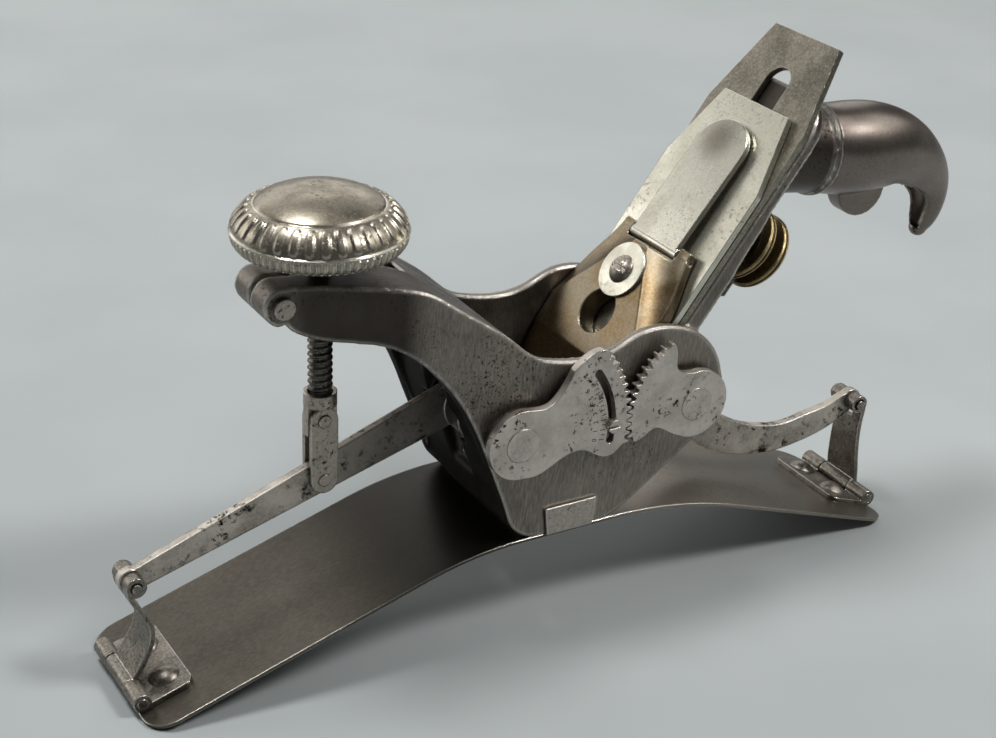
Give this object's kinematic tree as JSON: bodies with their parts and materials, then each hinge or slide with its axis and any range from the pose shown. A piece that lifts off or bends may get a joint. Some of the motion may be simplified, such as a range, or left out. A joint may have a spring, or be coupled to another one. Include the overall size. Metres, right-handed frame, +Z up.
{
  "type": "circular plane",
  "caption": "Compass plane: a knob and spindle work two geared levers that bow its flexible steel sole; slanted cutter with cap iron and lever cap, horn-shaped rear handle.",
  "frame": {"origin": "on the bench, midway along the sole and across it", "axes": "+X to the rear, towards the handle; +Z up; +Y to the side away from the toothed quadrants"},
  "size_m": [0.2767, 0.0573, 0.1573],
  "materials": {
    "grey_iron": "worn japanning over grey iron",
    "lever_iron": "dull, polished on raised faces",
    "sole_steel": "satin, stained",
    "bright_steel": "satin",
    "blade_steel": "satin, stained",
    "nickel": "worn nickel plate",
    "bronze": "dull",
    "brass": "aged"
  },
  "bodies": {
    "body": {"body_casting": "grey_iron", "nose_clamp_screw": "bright_steel", "index_screw": "bright_steel", "dovetail_block": "sole_steel", "sole_middle": "sole_steel", "lever_cap_screw": "bright_steel", "cap_washer": "bright_steel", "adjusting_stud": "bright_steel", "yoke_pin": "bright_steel", "rear_handle": "grey_iron", "handle_screw": "bright_steel"},
    "clevis": {"spindle_clevis": "bright_steel", "clevis_pin": "bright_steel"},
    "knob": {"front_knob": "lever_iron", "spindle": "bright_steel"},
    "link": {"link_strap_near": "bright_steel", "link_strap_far": "bright_steel", "link_lower_pin": "bright_steel"},
    "front_lever": {"front_lever": "lever_iron", "front_shaft": "bright_steel", "front_quadrant": "lever_iron", "front_lever_end_pin": "bright_steel"},
    "rear_lever": {"rear_lever": "lever_iron", "rear_shaft": "bright_steel", "rear_quadrant": "lever_iron", "rear_lever_end_pin": "bright_steel"},
    "front_bend": {"sole_front_bend": "sole_steel"},
    "front_flap": {"sole_front_end": "sole_steel", "front_hinge_leaf": "bright_steel", "front_hinge_rivets": "bright_steel", "front_hinge_pin": "bright_steel"},
    "front_shackle": {"front_shackle": "bright_steel"},
    "rear_bend": {"sole_rear_bend": "sole_steel"},
    "rear_flap": {"sole_rear_end": "sole_steel", "rear_hinge_leaf": "bright_steel", "rear_hinge_rivets": "bright_steel", "rear_hinge_pin": "bright_steel"},
    "rear_shackle": {"rear_shackle": "bright_steel"},
    "iron": {"cutter_iron": "blade_steel", "cap_iron": "nickel", "cap_iron_screw": "bright_steel"},
    "lever_cap": {"lever_cap": "bronze", "thumb_lever_pin": "bright_steel"},
    "thumb_lever": {"thumb_lever": "nickel"},
    "nut": {"adjusting_nut": "brass"},
    "yoke": {"yoke_lever": "bright_steel"}
  },
  "joints": [
    {"name": "spindle_lift", "type": "slide", "parent": "body", "child": "clevis", "axis": [0, 0, 1], "range_m": [-0.00485, 0.01869]},
    {"name": "knob_turn", "type": "hinge", "parent": "clevis", "child": "knob", "pos_m": [-0.0632, 0, 0.1], "axis": [0, 0, 1], "range_deg": [-870, 3360]},
    {"name": "link_swing", "type": "hinge", "parent": "clevis", "child": "link", "pos_m": [-0.0632, 0, 0.069], "axis": [0, 1, 0], "range_deg": [-2, 7.31]},
    {"name": "front_lever_turn", "type": "hinge", "parent": "body", "child": "front_lever", "pos_m": [-0.0169, 0, 0.0638], "axis": [0, 1, 0], "range_deg": [-5.95, 22.55]},
    {"name": "rear_lever_turn", "type": "hinge", "parent": "body", "child": "rear_lever", "pos_m": [0.0404, 0, 0.0638], "axis": [0, 1, 0], "range_deg": [-33.74, 8.85]},
    {"name": "front_bend_a", "type": "hinge", "parent": "body", "child": "front_bend", "pos_m": [-0.01985, 0, 0.02981], "axis": [0, 1, 0], "range_deg": [-3.28, 12.23]},
    {"name": "front_bend_b", "type": "hinge", "parent": "front_bend", "child": "front_flap", "pos_m": [-0.03537, 0, 0.02745], "axis": [0, 1, 0], "range_deg": [-3.28, 12.23]},
    {"name": "front_shackle_swing", "type": "hinge", "parent": "front_flap", "child": "front_shackle", "pos_m": [-0.12236, 0, 0.00403], "axis": [0, 1, 0], "range_deg": [-27.75, 7.3]},
    {"name": "rear_bend_a", "type": "hinge", "parent": "body", "child": "rear_bend", "pos_m": [0.02764, 0, 0.02961], "axis": [0, 1, 0], "range_deg": [-17.14, 4.55]},
    {"name": "rear_bend_b", "type": "hinge", "parent": "rear_bend", "child": "rear_flap", "pos_m": [0.05061, 0, 0.02574], "axis": [0, 1, 0], "range_deg": [-17.14, 4.55]},
    {"name": "rear_shackle_swing", "type": "hinge", "parent": "rear_flap", "child": "rear_shackle", "pos_m": [0.12396, 0, 0.00406], "axis": [0, 1, 0], "range_deg": [-10.63, 40.62]},
    {"name": "adjusting_nut_turn", "type": "hinge", "parent": "body", "child": "nut", "pos_m": [0.07723, 0, 0.09465], "axis": [0.8007, 0, -0.599], "range_deg": [-180, 180]},
    {"name": "yoke_swing", "type": "hinge", "parent": "body", "child": "yoke", "pos_m": [0.05789, 0, 0.0915], "axis": [0, 1, 0], "range_deg": [-3, 3]},
    {"name": "iron_set", "type": "slide", "parent": "body", "child": "iron", "axis": [0.599, 0, 0.8007], "range_m": [-0.00067, 0.00067]},
    {"name": "lever_cap_slide", "type": "slide", "parent": "body", "child": "lever_cap", "axis": [0.599, 0, 0.8007], "range_m": [0, 0.014]},
    {"name": "thumb_lever_turn", "type": "hinge", "parent": "lever_cap", "child": "thumb_lever", "pos_m": [0.04368, 0, 0.10139], "axis": [0, -1, 0], "range_deg": [0, 90]}
  ],
  "couplings": [
    {"joint": "spindle_lift", "follows": "knob_turn", "m_per_rad": 0.00031831},
    {"joint": "front_lever_turn", "follows": "knob_turn", "ratio": 0.0066651},
    {"joint": "rear_lever_turn", "follows": "knob_turn", "ratio": -0.0099977},
    {"joint": "front_bend_a", "follows": "knob_turn", "ratio": 0.0035965},
    {"joint": "front_bend_b", "follows": "knob_turn", "ratio": 0.0035965},
    {"joint": "front_shackle_swing", "follows": "knob_turn", "ratio": -0.0082147},
    {"joint": "rear_bend_a", "follows": "knob_turn", "ratio": -0.0050575},
    {"joint": "rear_bend_b", "follows": "knob_turn", "ratio": -0.0050575},
    {"joint": "rear_shackle_swing", "follows": "knob_turn", "ratio": 0.012044},
    {"joint": "link_swing", "follows": "knob_turn", "ratio": 0.0021302},
    {"joint": "yoke_swing", "follows": "adjusting_nut_turn", "ratio": 0.014469},
    {"joint": "iron_set", "follows": "adjusting_nut_turn", "m_per_rad": 0.00021124}
  ]
}
